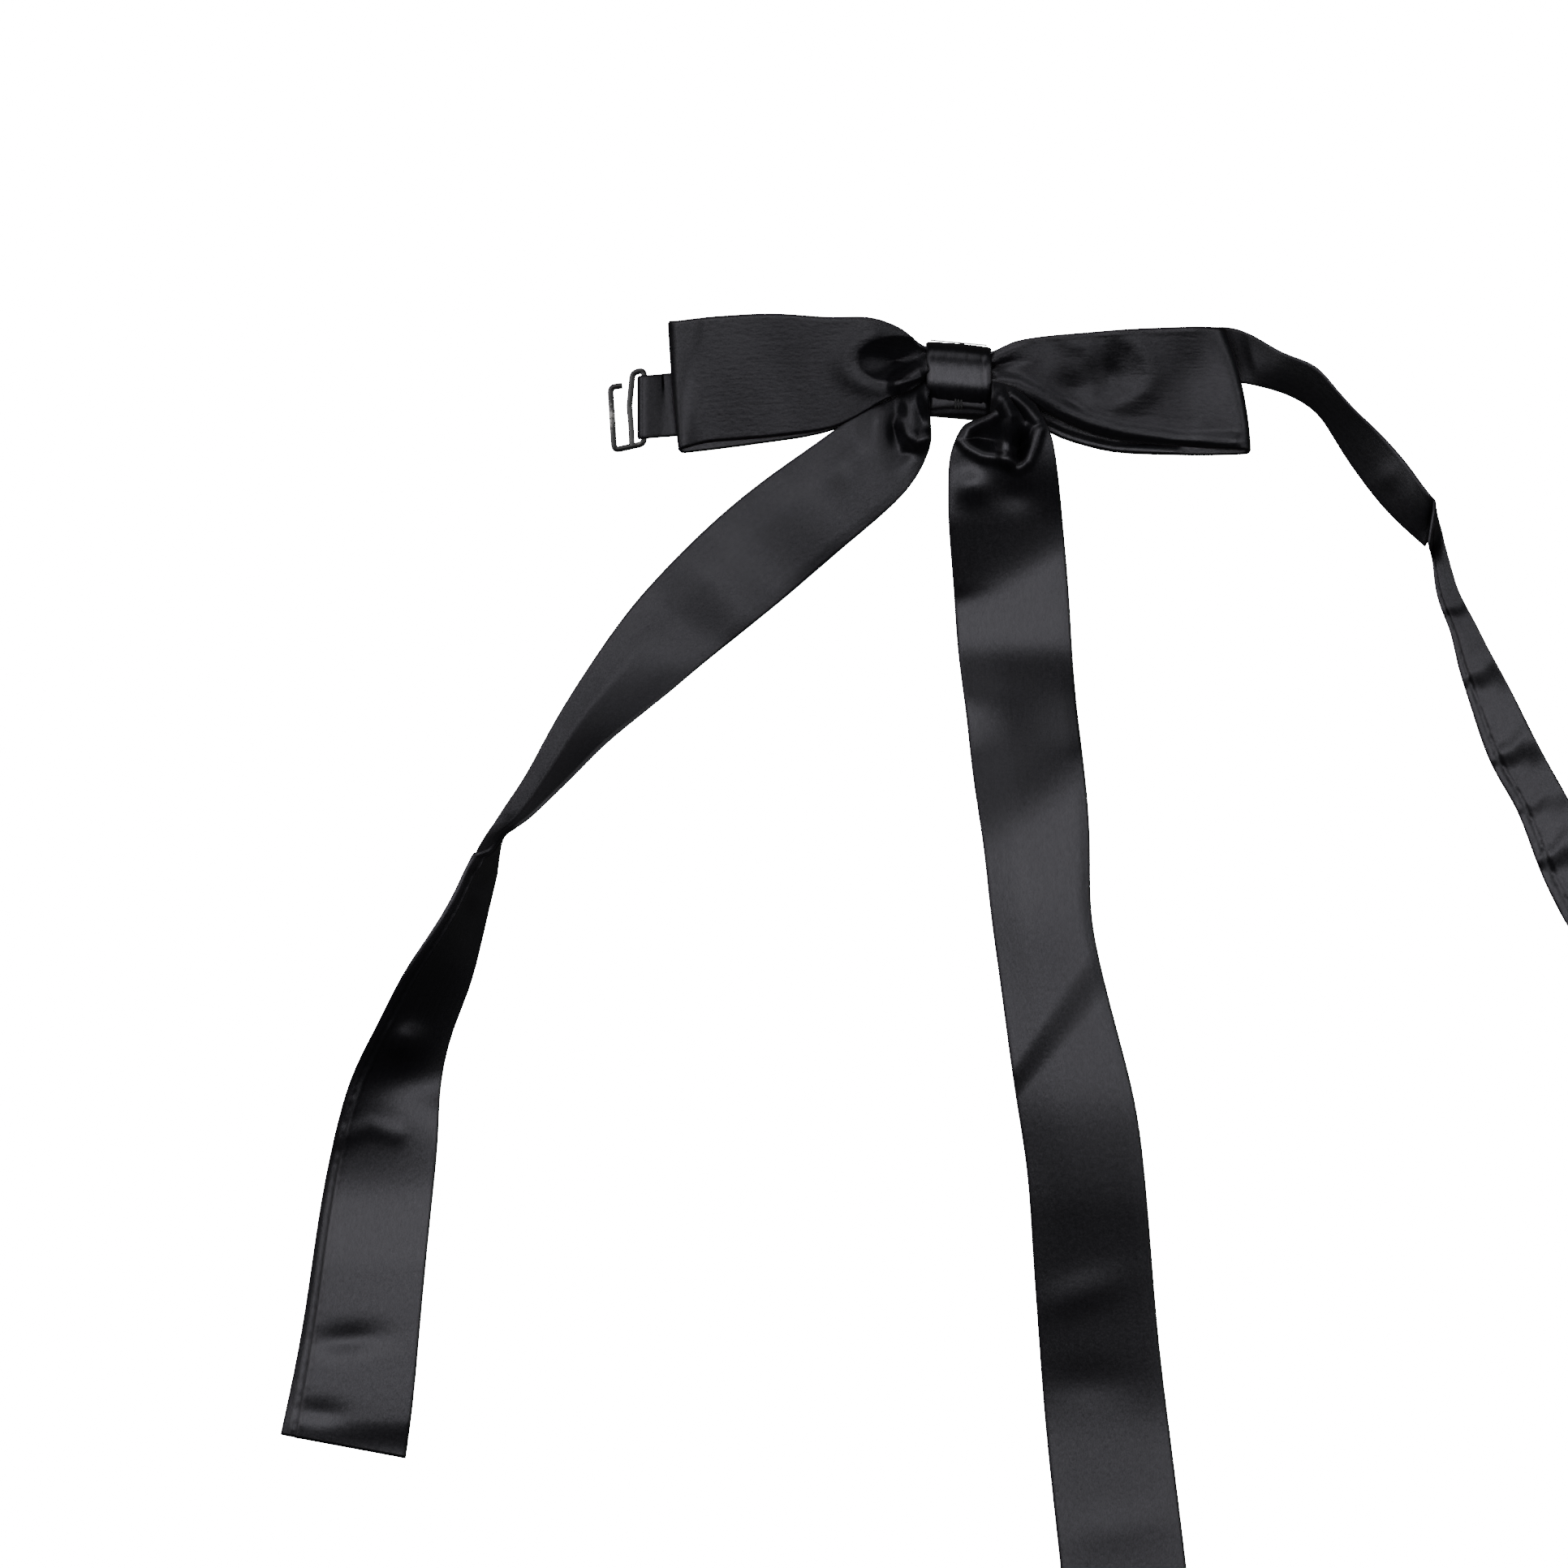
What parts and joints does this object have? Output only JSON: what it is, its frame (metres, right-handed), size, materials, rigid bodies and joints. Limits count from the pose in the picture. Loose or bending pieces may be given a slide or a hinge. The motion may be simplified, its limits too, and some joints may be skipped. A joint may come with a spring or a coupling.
{
  "type": "pre-tied bow tie",
  "caption": "Pre-tied ribbon bow tie with long free tails and an adjustable neck band that fastens behind the neck with a wire hook and a ring.",
  "frame": {"origin": "under the middle of the knot, on the flat back of the knot band, which is also the level of the table that the tie lies on", "axes": "+Z out of the front of the bow; +X along the bow towards the adjustable end of the neck band, away from the hook; the tails hang towards -Y"},
  "size_m": [0.383, 0.3736, 0.0299],
  "materials": {
    "ribbon_satin": "black satin, fine lengthwise sheen",
    "knot_satin": "black satin, weave across the knot",
    "band_satin": "black satin neck band",
    "sewing_thread": "matt black polyester thread",
    "black_enamel": "gloss black enamel on steel wire, worn at the corners"
  },
  "bodies": {
    "bow": {"bow_core": "ribbon_satin", "wing_left": "ribbon_satin", "wing_right": "ribbon_satin", "knot_band": "knot_satin", "knot_stitch": "sewing_thread", "cinch_thread": "sewing_thread", "tail_core": "ribbon_satin", "tail_left_root": "ribbon_satin", "tail_right_root": "ribbon_satin", "neck_band_inner": "band_satin", "hook_end_stitch": "sewing_thread"},
    "hook_frame": {"hook": "black_enamel"},
    "left_tail": {"tail_left": "ribbon_satin"},
    "right_tail": {"tail_right": "ribbon_satin"},
    "band": {"neck_band_outer": "band_satin", "band_run": "band_satin"},
    "adjuster": {"slider": "black_enamel", "slider_end_band": "band_satin", "slider_end_stitch": "sewing_thread"},
    "bight": {"band_bight": "band_satin", "band_return": "band_satin"},
    "ring": {"eye_ring": "black_enamel"}
  },
  "joints": [
    {"name": "hook_swing", "type": "hinge", "parent": "bow", "child": "hook_frame", "pos_m": [-0.0872, -0.0064, 0.00195], "axis": [0, 1, 0], "range_deg": [0, 130]},
    {"name": "tail_left_lift", "type": "hinge", "parent": "bow", "child": "left_tail", "pos_m": [-0.04, -0.034, 0.0014], "axis": [-0.6633, 0.7483, 0], "range_deg": [0, 90]},
    {"name": "tail_right_lift", "type": "hinge", "parent": "bow", "child": "right_tail", "pos_m": [0.0135, -0.044, 0.0014], "axis": [-0.9978, -0.0665, 0], "range_deg": [0, 90]},
    {"name": "band_lift", "type": "hinge", "parent": "bow", "child": "band", "pos_m": [0.084, 0.0056, 0.0008], "axis": [-0.4023, -0.9155, 0], "range_deg": [0, 90]},
    {"name": "slider_slide", "type": "slide", "parent": "band", "child": "adjuster", "axis": [0, 1, 0], "range_m": [0, 0.05]},
    {"name": "ring_slide", "type": "slide", "parent": "adjuster", "child": "bight", "axis": [0, 1, 0], "range_m": [-0.025, 0], "deforming": ["band_run", "band_return"]},
    {"name": "ring_swing", "type": "hinge", "parent": "bight", "child": "ring", "pos_m": [0.184, -0.29, 0.0019], "axis": [-1, 0, 0], "range_deg": [0, 120]}
  ],
  "couplings": [
    {"joint": "ring_slide", "follows": "slider_slide", "ratio": -0.5}
  ]
}
